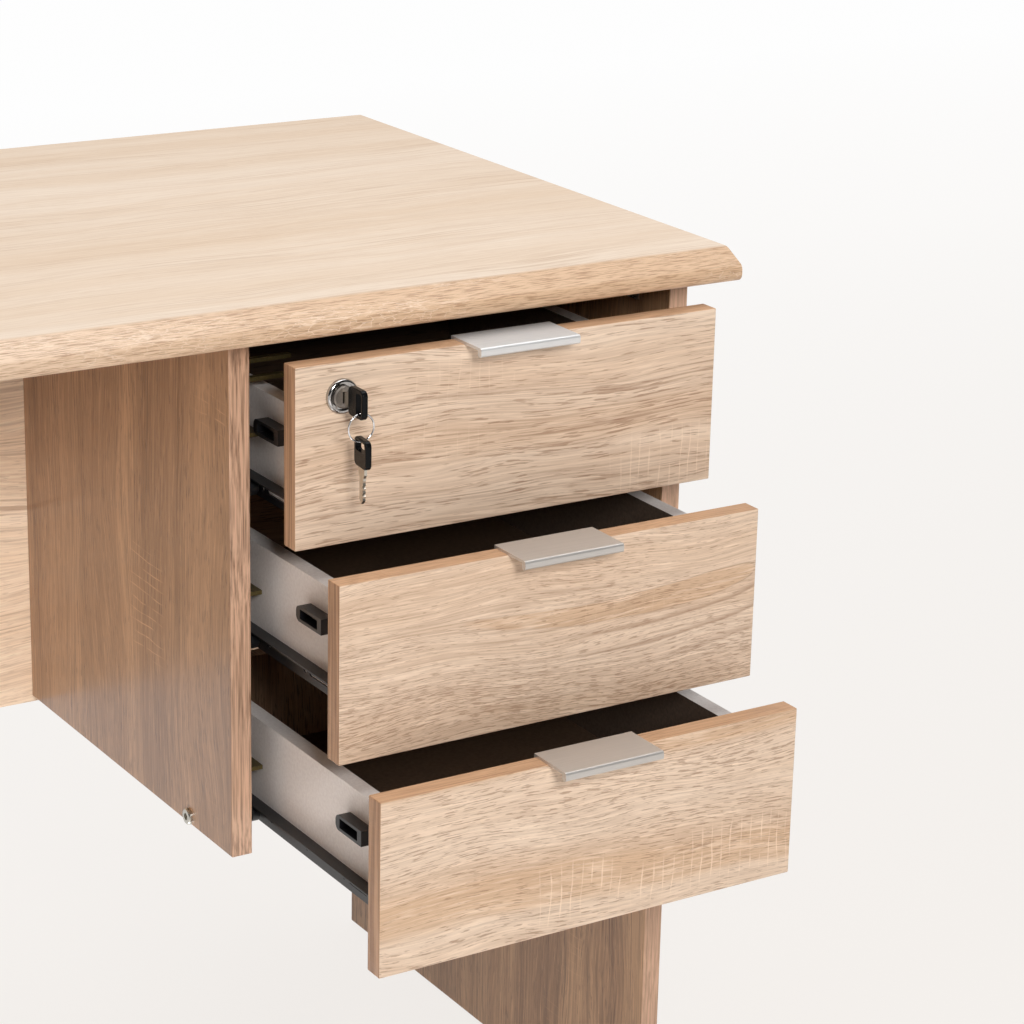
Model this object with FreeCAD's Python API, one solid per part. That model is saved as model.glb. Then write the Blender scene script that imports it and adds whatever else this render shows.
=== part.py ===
import FreeCAD, Part
import os
from math import cos, radians, sin

from FreeCAD import Placement, Rotation, Vector

# Pedestal desk, millimetres. X runs along the desk, Y from front to back, Z up from the floor.
# Y is measured from the front plane of the panels while the pieces are made. The drawers stand
# partly open. At the end everything shifts so that the origin is under the middle of the part.

# Boards and overall sizes
DESK_WIDTH = 1200.0
DESK_HEIGHT = 750.0
TOP_THICK = 22.0
BOARD = 16.0
TOP_FRONT_OVERHANG = 47.0
TOP_BACK_OVERHANG = 46.0
TOP_END_OVERHANG = 14.0
LEG_DEPTH = 471.0
PEDESTAL_CLEAR = 345.0
PEDESTAL_DEPTH = 352.0
PEDESTAL_HEIGHT = 387.0
MODESTY_HEIGHT = 392.0
EDGE_RADIUS = 0.8

# Front edge of the top: a slope, then a rounded nose
SLOPE_RUN = 20.0
SLOPE_DROP = 10.6
CREST_RADIUS = 12.0
NOSE_RADIUS = 5.5

# Glides, tie rail, bolts and brackets
GLIDE_HEIGHT = 4.0
GLIDE_WIDTH = 12.0
GLIDE_LENGTH = 36.0
GLIDE_INSET = 45.0
GLIDE_ROUND = 4.0
TIE_SETBACK = 69.0
TIE_DEPTH = 20.0
TIE_HEIGHT = 10.0
TIE_RAISE = 0.5
BOLT_RADIUS = 3.0
BOLT_LENGTH = 50.0
BOLT_HEAD_RADIUS = 6.2
BOLT_HEAD_HEIGHT = 2.6
BOLT_HEAD_CHAMFER = 0.9
SOCKET_FLATS = 5.0
SOCKET_DEPTH = 2.0
MODESTY_BOLT_SHARES = (0.2, 0.8)
BRACKET_LEG = 30.0
BRACKET_WIDTH = 16.0
BRACKET_SHEET = 1.5
BRACKET_SCREW_REACH = 19.5
LEG_BRACKET_INSET = 47.0
PEDESTAL_BRACKET_SHARES = (0.35, 0.85)
MODESTY_BRACKET_SHARES = (-0.6, 0.1)
SCREW_RADIUS = 1.75
SCREW_LENGTH = 13.0
SCREW_HEAD_RADIUS = 3.4
SCREW_HEAD_HEIGHT = 1.6
HOLE_FIT = 0.05

# Drawers, top to bottom: how far each stands open, and how high its box sits on its front
PULLS = {"top": 61.0, "middle": 122.6, "bottom": 179.4}
BOX_RAISES = {"top": 13.7, "middle": 33.0, "bottom": 33.0}
FRONT_THICK = 16.0
FRONT_SIDE_GAP = 2.0
FRONT_GAP = 5.0
FRONT_TOP_GAP = 13.0
FRONT_BELOW = 20.0
SIDE_THICK = 12.0
SIDE_SHORTER = 52.0
BOX_BACK_GAP = 20.0
BOTTOM_THICK = 3.0
DOWEL_RADIUS = 3.0
DOWEL_LENGTH = 30.0
DOWEL_IN_FRONT = 10.0
BOX_JOINT_SHARES = (0.4, 0.8)
BOX_SCREW_RADIUS = 2.0
BOX_SCREW_LENGTH = 40.0
BOX_SCREW_HEAD_RADIUS = 3.6
BOX_SCREW_HEAD_DEPTH = 2.0

# Roller runners, and the packers that stand them off the panels
PACKER = 7.5
RUNNER_SPACE = 12.5
RUNNER_SHORTER = 16.0
CHANNEL_SETBACK = 1.5
RUNNER_SETBACK = 2.0
SHEET = 1.2
FLANGE_RISE = 14.3
FLANGE_CLEARANCE = 1.4
LIP = 10.0
ROLLER_RADIUS = 6.5
ROLLER_WIDTH = 7.3
ROLLER_GAP = 0.3
ROLLER_STANDOFF = 1.0
ROLLER_CHAMFER = 0.8
AXLE_RADIUS = 2.0
AXLE_FIT = 0.05
AXLE_HEAD_RADIUS = 3.2
AXLE_HEAD = 0.8
ROLLER_SETBACK = 8.0
CHANNEL_CLEARANCE = 0.5
CHANNEL_DEPTH = 9.0
CHANNEL_OPEN_FRONT = 18.0
RUNNER_HOLE_RADIUS = 2.5
RUNNER_HOLE_RISE = 6.5
RUNNER_HOLE_START = 62.5
RUNNER_HOLE_PITCH = 53.5
RUNNER_HOLE_COUNT = 4
RUNNER_SLOT_START = 32.0
RUNNER_SLOT_END = 54.0
RUNNER_SCREW_SHARES = (0.2, 0.83)
RUNNER_SCREW_HEAD = 0.6
LIP_SCREW_SHARES = (0.22, 0.73)
LIP_SCREW_LENGTH = 16.0

# Handles: an aluminium profile over each front's top edge
HANDLE_LENGTH = 80.0
HANDLE_REACH = 22.0
HANDLE_SHEET = 2.0
HANDLE_LIP = 6.6
HANDLE_LIP_THICK = 4.5
HANDLE_LIP_RADIUS = 2.0
HANDLE_FLANGE = 12.0
HANDLE_SCREW_SPACING = 50.0

# Central lock: bar on the side panel, stops, fork, and the catches on the drawers
BAR_SETBACK = 19.0
BAR_WIDTH = 10.0
BAR_THICK = 4.0
BAR_GAP = 0.3
BAR_BOTTOM = 8.0
BAR_ABOVE_FORK = 13.5
BAR_LIFT = 8.5
GUIDE_WALL = 1.7
GUIDE_HEIGHT = 16.0
GUIDE_SHARES = (0.27, 0.61)
STOP_THICK = 3.0
STOP_LENGTH = 20.0
STOP_GAP = 1.0
STOP_END_GAP = 1.5
FORK_ARM = 3.0
FORK_SLOT = 10.2
FORK_DEPTH = 5.0
FORK_PLATE = 1.7
FORK_PAST_AXIS = 6.0
CATCH_DROPS = {"top": 16.8, "middle": 19.3, "bottom": 19.3}
CATCH_SETBACK = 24.7
CATCH_LENGTH = 35.5
CATCH_HEIGHT = 11.4
CATCH_THICK = 9.5
CATCH_WALL = 2.2
CATCH_END_WALL = 5.5
CATCH_BACK = 1.5
CATCH_ROUND = 4.5

# Lock in the top front, and its keys
LOCK_INSET = 35.4
LOCK_DROP = 23.6
LOCK_FLANGE_RADIUS = 12.1
LOCK_FLANGE = 3.2
LOCK_FLANGE_ROUND = 2.0
LOCK_GROOVE_RADIUS = 9.6
LOCK_GROOVE_DEPTH = 2.4
LOCK_BARREL_RADIUS = 9.0
LOCK_BARREL_PAST = 2.0
LOCK_NUT = 2.0
LOCK_NUT_RADIUS = 13.0
PLUG_RADIUS = 6.5
PLUG_FIT = 0.05
PLUG_PROUD = 1.2
PLUG_HEAD_RADIUS = 7.9
PLUG_HEAD_GAP = 0.3
PLUG_CHAMFER = 0.9
CRANK_RIM = 0.5
CRANK_THICK = 2.5
CRANK_GAP = 0.3
CRANK_PIN_RADIUS = 3.0
CRANK_PIN_LENGTH = 8.2
CRANK_PIN_GAP = 1.2
KEYWAY_FIT = 0.2
KEYWAY_MOUTH = 2.0
KEYWAY_MOUTH_FIT = 0.75
KEY_SHEET = 2.0
KEY_WIDTH = 6.4
KEY_LENGTH = 25.5
KEY_IN_HEAD = 6.0
KEY_SHOULDER_WIDTH = 10.0
KEY_SHOULDER_LENGTH = 4.5
KEY_SHOULDER_TAPER = 2.5
KEY_TEETH_SPAN = 13.5
KEY_TOOTH_DEPTHS = (0.8, 1.4, 0.8, 1.4, 0.8)
KEY_TOOTH_SKEW = 0.4
HEAD_LENGTH = 20.0
HEAD_WIDTH = 20.2
HEAD_THICK = 4.4
HEAD_ROUND = 4.0
HEAD_EDGE_ROUND = 0.9
HEAD_FROM_FRONT = 12.0
HEAD_RISE = 0.8
RING_HOLE_WIDTH = 15.0
RING_HOLE_LENGTH = 7.0
RING_HOLE_ROUND = 1.5
RING_HOLE_BAR = 2.0
RING_RADIUS = 9.6
RING_WIRE_RADIUS = 0.65
RING_REST_GAP = 0.45
SPARE_TURN = 6.0
SPARE_OFFSET = 3.0

# Levels and places worked out from the sizes above
UNDERSIDE = DESK_HEIGHT - TOP_THICK
RIGHT_OUTER = DESK_WIDTH / 2 - TOP_END_OVERHANG
RIGHT_INNER = RIGHT_OUTER - BOARD
LEFT_OUTER = -RIGHT_OUTER
LEFT_INNER = -RIGHT_INNER
PEDESTAL_INNER = RIGHT_INNER - PEDESTAL_CLEAR
PEDESTAL_OUTER = PEDESTAL_INNER - BOARD
PEDESTAL_MIDDLE = (PEDESTAL_INNER + RIGHT_INNER) / 2
PEDESTAL_BOTTOM = UNDERSIDE - PEDESTAL_HEIGHT
MODESTY_BOTTOM = UNDERSIDE - MODESTY_HEIGHT
MODESTY_BACK = PEDESTAL_DEPTH + BOARD
TOP_BACK = LEG_DEPTH + TOP_BACK_OVERHANG
FRONT_PLANE_Y = (max(PULLS.values()) + HANDLE_REACH - TOP_BACK) / 2

FRONT_HEIGHT = (PEDESTAL_HEIGHT - FRONT_TOP_GAP + FRONT_BELOW - 2 * FRONT_GAP) / 3
SIDE_HEIGHT = FRONT_HEIGHT - SIDE_SHORTER
BOX_DEPTH = PEDESTAL_DEPTH - FRONT_THICK - BOX_BACK_GAP
RUNNER_LENGTH = BOX_DEPTH - RUNNER_SHORTER
FRONT_LEFT = PEDESTAL_INNER + FRONT_SIDE_GAP
FRONT_RIGHT = RIGHT_INNER - FRONT_SIDE_GAP
SIDE_OUTER = PEDESTAL_INNER + PACKER + RUNNER_SPACE
SIDE_INNER = SIDE_OUTER + SIDE_THICK
RUNNER_START = FRONT_THICK + RUNNER_SETBACK
CHANNEL_START = FRONT_THICK + CHANNEL_SETBACK
CHANNEL_END = CHANNEL_START + RUNNER_LENGTH
CHANNEL_FACE = PEDESTAL_INNER + PACKER + SHEET
ROLLER_X = CHANNEL_FACE + ROLLER_STANDOFF
WEB_FACE = SIDE_OUTER - SHEET
AXLE_RISE = FLANGE_RISE - SHEET - ROLLER_GAP - ROLLER_RADIUS
CHANNEL_LOW = AXLE_RISE - ROLLER_RADIUS - ROLLER_GAP - SHEET
CHANNEL_HIGH = FLANGE_RISE + CHANNEL_CLEARANCE + SHEET
CABINET_ROLLER_Y = CHANNEL_START + ROLLER_SETBACK
DRAWER_ROLLER_Y = RUNNER_START + RUNNER_LENGTH - ROLLER_SETBACK

LOCK_X = FRONT_LEFT + LOCK_INSET
CRANK_START = FRONT_THICK + LOCK_BARREL_PAST + CRANK_GAP
CRANK_PIN_START = CRANK_START + CRANK_THICK
BAR_OUTER = PEDESTAL_INNER + BAR_GAP + BAR_THICK
KEY_TIP = KEY_LENGTH - HEAD_FROM_FRONT


def front_top(drawer):
    """Top of a drawer's front."""
    row = list(PULLS).index(drawer)
    return UNDERSIDE - FRONT_TOP_GAP - row * (FRONT_HEIGHT + FRONT_GAP)


def box_low(drawer):
    """Lower edge of a drawer's sides."""
    return front_top(drawer) - FRONT_HEIGHT + BOX_RAISES[drawer]


def catch_low(drawer):
    """Lower edge of a drawer's lock catch."""
    return box_low(drawer) + SIDE_HEIGHT - CATCH_DROPS[drawer] - CATCH_HEIGHT


LOCK_Z = front_top("top") - LOCK_DROP
FORK_LOW = LOCK_Z - FORK_SLOT / 2 - FORK_ARM
FORK_TOP = LOCK_Z + FORK_SLOT / 2 + FORK_ARM
BAR_TOP = FORK_TOP + BAR_ABOVE_FORK
# The crank pin starts level with the lock's axis, and a quarter turn lifts it by its own arm.
CRANK_ARM = BAR_LIFT
CRANK_RADIUS = CRANK_ARM + CRANK_PIN_RADIUS + CRANK_RIM
HEAD_Z = LOCK_Z + HEAD_RISE
# The ring hangs in the key's hole, and the spare hangs on the ring, a little off its middle.
RING_HOLE_END = HEAD_LENGTH - RING_HOLE_BAR
RING_Y = -HEAD_FROM_FRONT - RING_HOLE_END + RING_HOLE_LENGTH / 2
RING_TOP_Z = HEAD_Z - RING_HOLE_WIDTH / 2 + RING_WIRE_RADIUS + RING_REST_GAP
RING_Z = RING_TOP_Z - RING_RADIUS
RING_LOW_Z = RING_Z - RING_RADIUS
SPARE_BASE_Z = RING_LOW_Z + RING_WIRE_RADIUS + RING_REST_GAP - RING_HOLE_END

ALONG_X = Vector(1, 0, 0)
ALONG_Y = Vector(0, 1, 0)
ALONG_Z = Vector(0, 0, 1)


# Helpers
def block(x0, x1, y0, y1, z0, z1):
    """Box between two corners."""
    return Part.makeBox(x1 - x0, y1 - y0, z1 - z0, Vector(x0, y0, z0))


def rod(radius, start, direction, length):
    """Cylinder from a point along a direction."""
    return Part.makeCylinder(radius, length, Vector(*start), direction)


def fused(shapes):
    """One solid from touching shapes."""
    return shapes[0].multiFuse(shapes[1:]).removeSplitter()


def board(x0, x1, y0, y1, z0, z1):
    """Board with its edges a little rounded."""
    plain = block(x0, x1, y0, y1, z0, z1)
    return plain.makeFillet(EDGE_RADIUS, plain.Edges)


def profile_along_x(points, x0, x1):
    """Outline of (y, z) points, pushed out along X."""
    corners = [Vector(x0, y, z) for y, z in points]
    outline = Part.makePolygon(corners + corners[:1])
    return Part.Face(outline).extrude(Vector(x1 - x0, 0, 0))


def edge_along_x(shape, y, z):
    """The edges along X through a point of the outline."""
    found = []
    for edge in shape.Edges:
        ends = [vertex.Point for vertex in edge.Vertexes]
        if all(abs(end.y - y) < 1e-6 and abs(end.z - z) < 1e-6 for end in ends):
            found.append(edge)
    return found


def rim_at(shape, y):
    """The round edges of a piece along Y, in the plane at y."""
    return [edge for edge in shape.Edges if abs(edge.CenterOfMass.y - y) < 1e-6]


def hexagon(radius):
    """The corners of a hexagon, back to the first one."""
    angles = [radians(60 * corner) for corner in range(7)]
    return [(radius * cos(angle), radius * sin(angle)) for angle in angles]


def mirrored(shape):
    """The same piece on the other side of the pedestal."""
    return shape.mirror(Vector(PEDESTAL_MIDDLE, 0, 0), ALONG_X)


def pair(shape):
    return [shape, mirrored(shape)]


def aimed(shape, point, direction):
    """A piece made along +Z from the origin, set at a point along a direction."""
    placed = shape.copy()
    placed.Placement = Placement(Vector(*point), Rotation(ALONG_Z, direction))
    return placed


def screw(radius, length, head_radius, head_height, sunk=False):
    """Screw along +Z. The head stands behind the origin, or is sunk in front of it."""
    head = rod(head_radius, (0, 0, 0 if sunk else -head_height), ALONG_Z, head_height)
    return fused([head, rod(radius, (0, 0, 0), ALONG_Z, length)])


def drilled(solid, fasteners):
    """Cuts the seats of the fasteners out of a piece."""
    for shape, point, direction in fasteners:
        solid = solid.cut(aimed(shape, point, direction))
    return solid


def placed_all(fasteners):
    return [aimed(shape, point, direction) for shape, point, direction in fasteners]


def seats(fasteners, seat):
    """The same fastener places, with the shape that cuts their holes."""
    return [(seat, point, direction) for _, point, direction in fasteners]


def save(name, solids):
    """Shifts a node to the part's frame and writes it."""
    shape = Part.makeCompound(solids) if len(solids) > 1 else solids[0]
    shape = shape.copy()
    shape.translate(Vector(0, FRONT_PLANE_Y, 0))
    shape.exportStep(os.path.join("parts", name + ".step"))


# Fasteners and their holes
def hex_bolt():
    """Connecting bolt with a flat head and a hexagon socket."""
    head = rod(BOLT_HEAD_RADIUS, (0, 0, -BOLT_HEAD_HEIGHT), ALONG_Z, BOLT_HEAD_HEIGHT)
    rim = [edge for edge in head.Edges if abs(edge.CenterOfMass.z + BOLT_HEAD_HEIGHT) < 1e-6]
    head = head.makeChamfer(BOLT_HEAD_CHAMFER, rim)
    corner = SOCKET_FLATS / 2 / cos(radians(30))
    ring = [Vector(x, y, -BOLT_HEAD_HEIGHT) for x, y in hexagon(corner)]
    socket = Part.Face(Part.makePolygon(ring)).extrude(Vector(0, 0, SOCKET_DEPTH))
    return fused([head, rod(BOLT_RADIUS, (0, 0, 0), ALONG_Z, BOLT_LENGTH)]).cut(socket)


BOLT = hex_bolt()
BOLT_SEAT = rod(BOLT_RADIUS + HOLE_FIT, (0, 0, 0), ALONG_Z, BOLT_LENGTH + HOLE_FIT)
SCREW = screw(SCREW_RADIUS, SCREW_LENGTH, SCREW_HEAD_RADIUS, SCREW_HEAD_HEIGHT)
SCREW_SEAT = rod(SCREW_RADIUS + HOLE_FIT, (0, 0, 0), ALONG_Z, SCREW_LENGTH + HOLE_FIT)
RUNNER_SCREW_LENGTH = SCREW_LENGTH + PACKER
RUNNER_SCREW = screw(SCREW_RADIUS, RUNNER_SCREW_LENGTH, SCREW_HEAD_RADIUS, RUNNER_SCREW_HEAD)
LIP_SCREW = screw(SCREW_RADIUS, LIP_SCREW_LENGTH, SCREW_HEAD_RADIUS, RUNNER_SCREW_HEAD)
LIP_SEAT = rod(SCREW_RADIUS + HOLE_FIT, (0, 0, 0), ALONG_Z, LIP_SCREW_LENGTH + HOLE_FIT)
RUNNER_SEAT = rod(SCREW_RADIUS + HOLE_FIT, (0, 0, 0), ALONG_Z, RUNNER_SCREW_LENGTH + HOLE_FIT)


def panel_bolts():
    """Bolts through the panels into the ends of the tie rail and the modesty panel."""
    tie_z = PEDESTAL_BOTTOM + TIE_RAISE + TIE_HEIGHT / 2
    modesty_y = PEDESTAL_DEPTH + BOARD / 2
    panel_x = (PEDESTAL_OUTER + PEDESTAL_INNER) / 2
    places = [((PEDESTAL_OUTER, TIE_SETBACK, tie_z), ALONG_X),
              ((RIGHT_OUTER, TIE_SETBACK, tie_z), -ALONG_X)]
    for share in MODESTY_BOLT_SHARES:
        z = MODESTY_BOTTOM + share * MODESTY_HEIGHT
        places.append(((LEFT_OUTER, modesty_y, z), ALONG_X))
        places.append(((RIGHT_OUTER, modesty_y, z), -ALONG_X))
        places.append(((panel_x, MODESTY_BACK, z), -ALONG_Y))
    return [(BOLT, point, direction) for point, direction in places]


def bracket_places():
    """Inner corner under the top and outward direction of each angle bracket."""
    places = []
    for y in (LEG_BRACKET_INSET, (MODESTY_BACK + LEG_DEPTH) / 2):
        places.append((RIGHT_INNER, y, 180))
        places.append((LEFT_INNER, y, 0))
    for share in PEDESTAL_BRACKET_SHARES:
        places.append((PEDESTAL_INNER, share * PEDESTAL_DEPTH, 0))
    for share in MODESTY_BRACKET_SHARES:
        places.append((share * RIGHT_INNER, MODESTY_BACK, 90))
    return places


def turned(shape, x, y, angle):
    """A piece made at the origin, turned about Z and set under the top."""
    placed = shape.copy()
    placed.Placement = Placement(Vector(x, y, UNDERSIDE), Rotation(ALONG_Z, angle))
    return placed


def bracket_screw_places():
    """One screw up into the top and one into the panel for each bracket."""
    reach = BRACKET_SCREW_REACH
    places = []
    for x, y, angle in bracket_places():
        out = Rotation(ALONG_Z, angle).multVec(ALONG_X)
        foot = Vector(x, y, UNDERSIDE)
        places.append((foot + out * reach - ALONG_Z * BRACKET_SHEET, ALONG_Z))
        places.append((foot + out * BRACKET_SHEET - ALONG_Z * reach, -out))
    return [(SCREW, tuple(point), direction) for point, direction in places]


def make_brackets(screws):
    half = BRACKET_WIDTH / 2
    angle_iron = fused([block(0, BRACKET_LEG, -half, half, -BRACKET_SHEET, 0),
                        block(0, BRACKET_SHEET, -half, half, -BRACKET_LEG, 0)])
    irons = [turned(angle_iron, x, y, angle) for x, y, angle in bracket_places()]
    return [drilled(iron, seats(screws, SCREW_SEAT)) for iron in irons]


# Carcass
def make_top(screws):
    front = -TOP_FRONT_OVERHANG
    crest = (front + SLOPE_RUN, DESK_HEIGHT)
    shoulder = (front, DESK_HEIGHT - SLOPE_DROP)
    low = (front, UNDERSIDE)
    outline = [(TOP_BACK, UNDERSIDE), (TOP_BACK, DESK_HEIGHT), crest, shoulder, low]
    top = profile_along_x(outline, -DESK_WIDTH / 2, DESK_WIDTH / 2)
    top = top.makeFillet(CREST_RADIUS, edge_along_x(top, *crest))
    top = top.makeFillet(NOSE_RADIUS, edge_along_x(top, *shoulder) + edge_along_x(top, *low))
    return drilled(top, seats(screws, SCREW_SEAT))


def runner_screw_places():
    """Screws of the cabinet runners, on the left and the right."""
    places = []
    for drawer in PULLS:
        z = box_low(drawer) + AXLE_RISE
        for share in RUNNER_SCREW_SHARES:
            y = CHANNEL_START + share * RUNNER_LENGTH
            places.append(((CHANNEL_FACE, y, z), -ALONG_X))
            places.append(((2 * PEDESTAL_MIDDLE - CHANNEL_FACE, y, z), ALONG_X))
    return [(RUNNER_SCREW, point, direction) for point, direction in places]


def make_carcass():
    bolts = panel_bolts()
    bracket_screws = bracket_screw_places()
    runner_screws = runner_screw_places()
    cuts = seats(bolts, BOLT_SEAT) + seats(bracket_screws, SCREW_SEAT)
    panel_cuts = cuts + seats(runner_screws, RUNNER_SEAT)

    right_leg = board(RIGHT_INNER, RIGHT_OUTER, 0, LEG_DEPTH, GLIDE_HEIGHT, UNDERSIDE)
    left_leg = board(LEFT_OUTER, LEFT_INNER, 0, LEG_DEPTH, GLIDE_HEIGHT, UNDERSIDE)
    side_panel = board(PEDESTAL_OUTER, PEDESTAL_INNER, 0, PEDESTAL_DEPTH, PEDESTAL_BOTTOM, UNDERSIDE)
    modesty = block(LEFT_INNER, RIGHT_INNER, PEDESTAL_DEPTH, MODESTY_BACK, MODESTY_BOTTOM, UNDERSIDE)
    tie_low = PEDESTAL_BOTTOM + TIE_RAISE
    tie = block(PEDESTAL_INNER, RIGHT_INNER, TIE_SETBACK - TIE_DEPTH / 2, TIE_SETBACK + TIE_DEPTH / 2,
                tie_low, tie_low + TIE_HEIGHT)
    save("desk_top", [make_top(bracket_screws)])
    save("right_leg_panel", [drilled(right_leg, panel_cuts)])
    save("left_leg_panel", [drilled(left_leg, cuts)])
    save("pedestal_side_panel", [drilled(side_panel, panel_cuts)])
    save("modesty_panel", [drilled(modesty, cuts)])
    save("tie_rail", [drilled(tie, cuts)])
    save("panel_bolts", placed_all(bolts))
    save("top_brackets", make_brackets(bracket_screws))
    save("bracket_screws", placed_all(bracket_screws))
    save("runner_screws", placed_all(runner_screws))
    save("floor_glides", make_glides())
    save("runner_packers", make_packers(runner_screws))


def make_glides():
    """Slim pads under the front and back of each leg."""
    glides = []
    for middle in ((RIGHT_INNER + RIGHT_OUTER) / 2, (LEFT_INNER + LEFT_OUTER) / 2):
        for y in (GLIDE_INSET, LEG_DEPTH - GLIDE_INSET):
            pad = block(middle - GLIDE_WIDTH / 2, middle + GLIDE_WIDTH / 2,
                        y - GLIDE_LENGTH / 2, y + GLIDE_LENGTH / 2, 0, GLIDE_HEIGHT)
            ends = [edge for edge in pad.Edges if abs(edge.tangentAt(edge.FirstParameter).z) > 0.5]
            glides.append(pad.makeFillet(GLIDE_ROUND, ends))
    return glides


def make_packers(screws):
    """Strips between the panels and the cabinet runners, behind the lock bar."""
    strips = []
    start = BAR_SETBACK + BAR_WIDTH + 2 * GUIDE_WALL
    for drawer in PULLS:
        low = box_low(drawer)
        strip = block(PEDESTAL_INNER, PEDESTAL_INNER + PACKER, start, CHANNEL_END,
                      low + CHANNEL_LOW, low + CHANNEL_HIGH)
        strips += pair(strip)
    return [drilled(strip, seats(screws, RUNNER_SEAT)) for strip in strips]


# Roller runners
def make_cabinet_runner(low):
    """Channel on the left packer, with the stub axle of its front roller."""
    start, end = CHANNEL_START, CHANNEL_END
    back = PEDESTAL_INNER + PACKER
    edge = CHANNEL_FACE + CHANNEL_DEPTH - SHEET
    bottom, top = low + CHANNEL_LOW, low + CHANNEL_HIGH
    web = block(back, CHANNEL_FACE, start, end, bottom, top)
    lower = block(CHANNEL_FACE, edge, start + CHANNEL_OPEN_FRONT, end, bottom, bottom + SHEET)
    upper = block(CHANNEL_FACE, edge, start + CHANNEL_OPEN_FRONT, end, top - SHEET, top)
    axle_end = ROLLER_X + ROLLER_WIDTH + ROLLER_GAP
    centre = (CHANNEL_FACE, CABINET_ROLLER_Y, low + AXLE_RISE)
    axle = rod(AXLE_RADIUS, centre, ALONG_X, axle_end - CHANNEL_FACE)
    head = rod(AXLE_HEAD_RADIUS, (axle_end, CABINET_ROLLER_Y, low + AXLE_RISE), ALONG_X, AXLE_HEAD)
    return fused([web, lower, upper, axle, head])


def make_roller(y, z):
    """Nylon roller with a bore for its stub axle."""
    wheel = rod(ROLLER_RADIUS, (ROLLER_X, y, z), ALONG_X, ROLLER_WIDTH)
    rims = [edge for edge in wheel.Edges if len(edge.Vertexes) == 1]
    wheel = wheel.makeChamfer(ROLLER_CHAMFER, rims)
    return wheel.cut(rod(AXLE_RADIUS + AXLE_FIT, (ROLLER_X, y, z), ALONG_X, ROLLER_WIDTH))


def make_drawer_runner(low, pull):
    """Drawer member: web with holes, lip under the side, flange turned out, rear stub axle."""
    start, end = RUNNER_START - pull, RUNNER_START + RUNNER_LENGTH - pull
    flange_tip = CHANNEL_FACE + FLANGE_CLEARANCE
    web = block(WEB_FACE, SIDE_OUTER, start, end, low - SHEET, low + FLANGE_RISE)
    lip = block(SIDE_OUTER, SIDE_OUTER + LIP, start, end, low - SHEET, low)
    flange = block(flange_tip, WEB_FACE, start, end, low + FLANGE_RISE - SHEET, low + FLANGE_RISE)
    axle = rod(AXLE_RADIUS, (ROLLER_X, DRAWER_ROLLER_Y - pull, low + AXLE_RISE), ALONG_X,
               WEB_FACE - ROLLER_X)
    runner = fused([web, lip, flange, axle])
    z = low + RUNNER_HOLE_RISE
    back_of_front = FRONT_THICK - pull
    for number in range(RUNNER_HOLE_COUNT):
        y = back_of_front + RUNNER_HOLE_START + number * RUNNER_HOLE_PITCH
        runner = runner.cut(rod(RUNNER_HOLE_RADIUS, (WEB_FACE, y, z), ALONG_X, SHEET))
    slot_start = back_of_front + RUNNER_SLOT_START
    slot_end = back_of_front + RUNNER_SLOT_END
    for y in (slot_start, slot_end):
        runner = runner.cut(rod(RUNNER_HOLE_RADIUS, (WEB_FACE, y, z), ALONG_X, SHEET))
    return runner.cut(block(WEB_FACE, SIDE_OUTER, slot_start, slot_end,
                            z - RUNNER_HOLE_RADIUS, z + RUNNER_HOLE_RADIUS))


def make_runners(drawer, lip_seats):
    low, pull = box_low(drawer), PULLS[drawer]
    screws = runner_screw_places()
    channels = pair(make_cabinet_runner(low))
    save(drawer + "_cabinet_runners", [drilled(channel, seats(screws, RUNNER_SEAT)) for channel in channels])
    members = pair(make_drawer_runner(low, pull))
    save(drawer + "_drawer_runners", [drilled(member, lip_seats) for member in members])
    z = low + AXLE_RISE
    save(drawer + "_cabinet_rollers", pair(make_roller(CABINET_ROLLER_Y, z)))
    save(drawer + "_drawer_rollers", pair(make_roller(DRAWER_ROLLER_Y - pull, z)))


# Drawers
def box_fasteners(drawer):
    """Screws, dowels and lip screws of a drawer's box, left and right."""
    low, back_of_front = box_low(drawer), FRONT_THICK - PULLS[drawer]
    box_screw = screw(BOX_SCREW_RADIUS, BOX_SCREW_LENGTH, BOX_SCREW_HEAD_RADIUS, BOX_SCREW_HEAD_DEPTH, True)
    dowel = rod(DOWEL_RADIUS, (0, 0, 0), ALONG_Z, DOWEL_LENGTH)
    right_outer = 2 * PEDESTAL_MIDDLE - SIDE_OUTER
    screws, dowels, lips = [], [], []
    for share in BOX_JOINT_SHARES:
        z = low + share * SIDE_HEIGHT
        y = back_of_front + BOX_DEPTH - SIDE_THICK / 2
        screws.append((box_screw, (SIDE_OUTER, y, z), ALONG_X))
        screws.append((box_screw, (right_outer, y, z), -ALONG_X))
        for x in (SIDE_OUTER + SIDE_THICK / 2, right_outer - SIDE_THICK / 2):
            dowels.append((dowel, (x, back_of_front - DOWEL_IN_FRONT, z), ALONG_Y))
    for share in LIP_SCREW_SHARES:
        y = back_of_front + share * BOX_DEPTH
        for x in (SIDE_OUTER + LIP / 2, right_outer - LIP / 2):
            lips.append((LIP_SCREW, (x, y, low - SHEET), ALONG_Z))
    return screws, dowels, lips


def handle_screws(drawer):
    """Screws from behind through the handle's flange into the front."""
    y = FRONT_THICK - PULLS[drawer] + HANDLE_SHEET
    z = front_top(drawer) - HANDLE_FLANGE / 2
    offsets = (-HANDLE_SCREW_SPACING / 2, HANDLE_SCREW_SPACING / 2)
    return [(SCREW, (PEDESTAL_MIDDLE + offset, y, z), -ALONG_Y) for offset in offsets]


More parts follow.
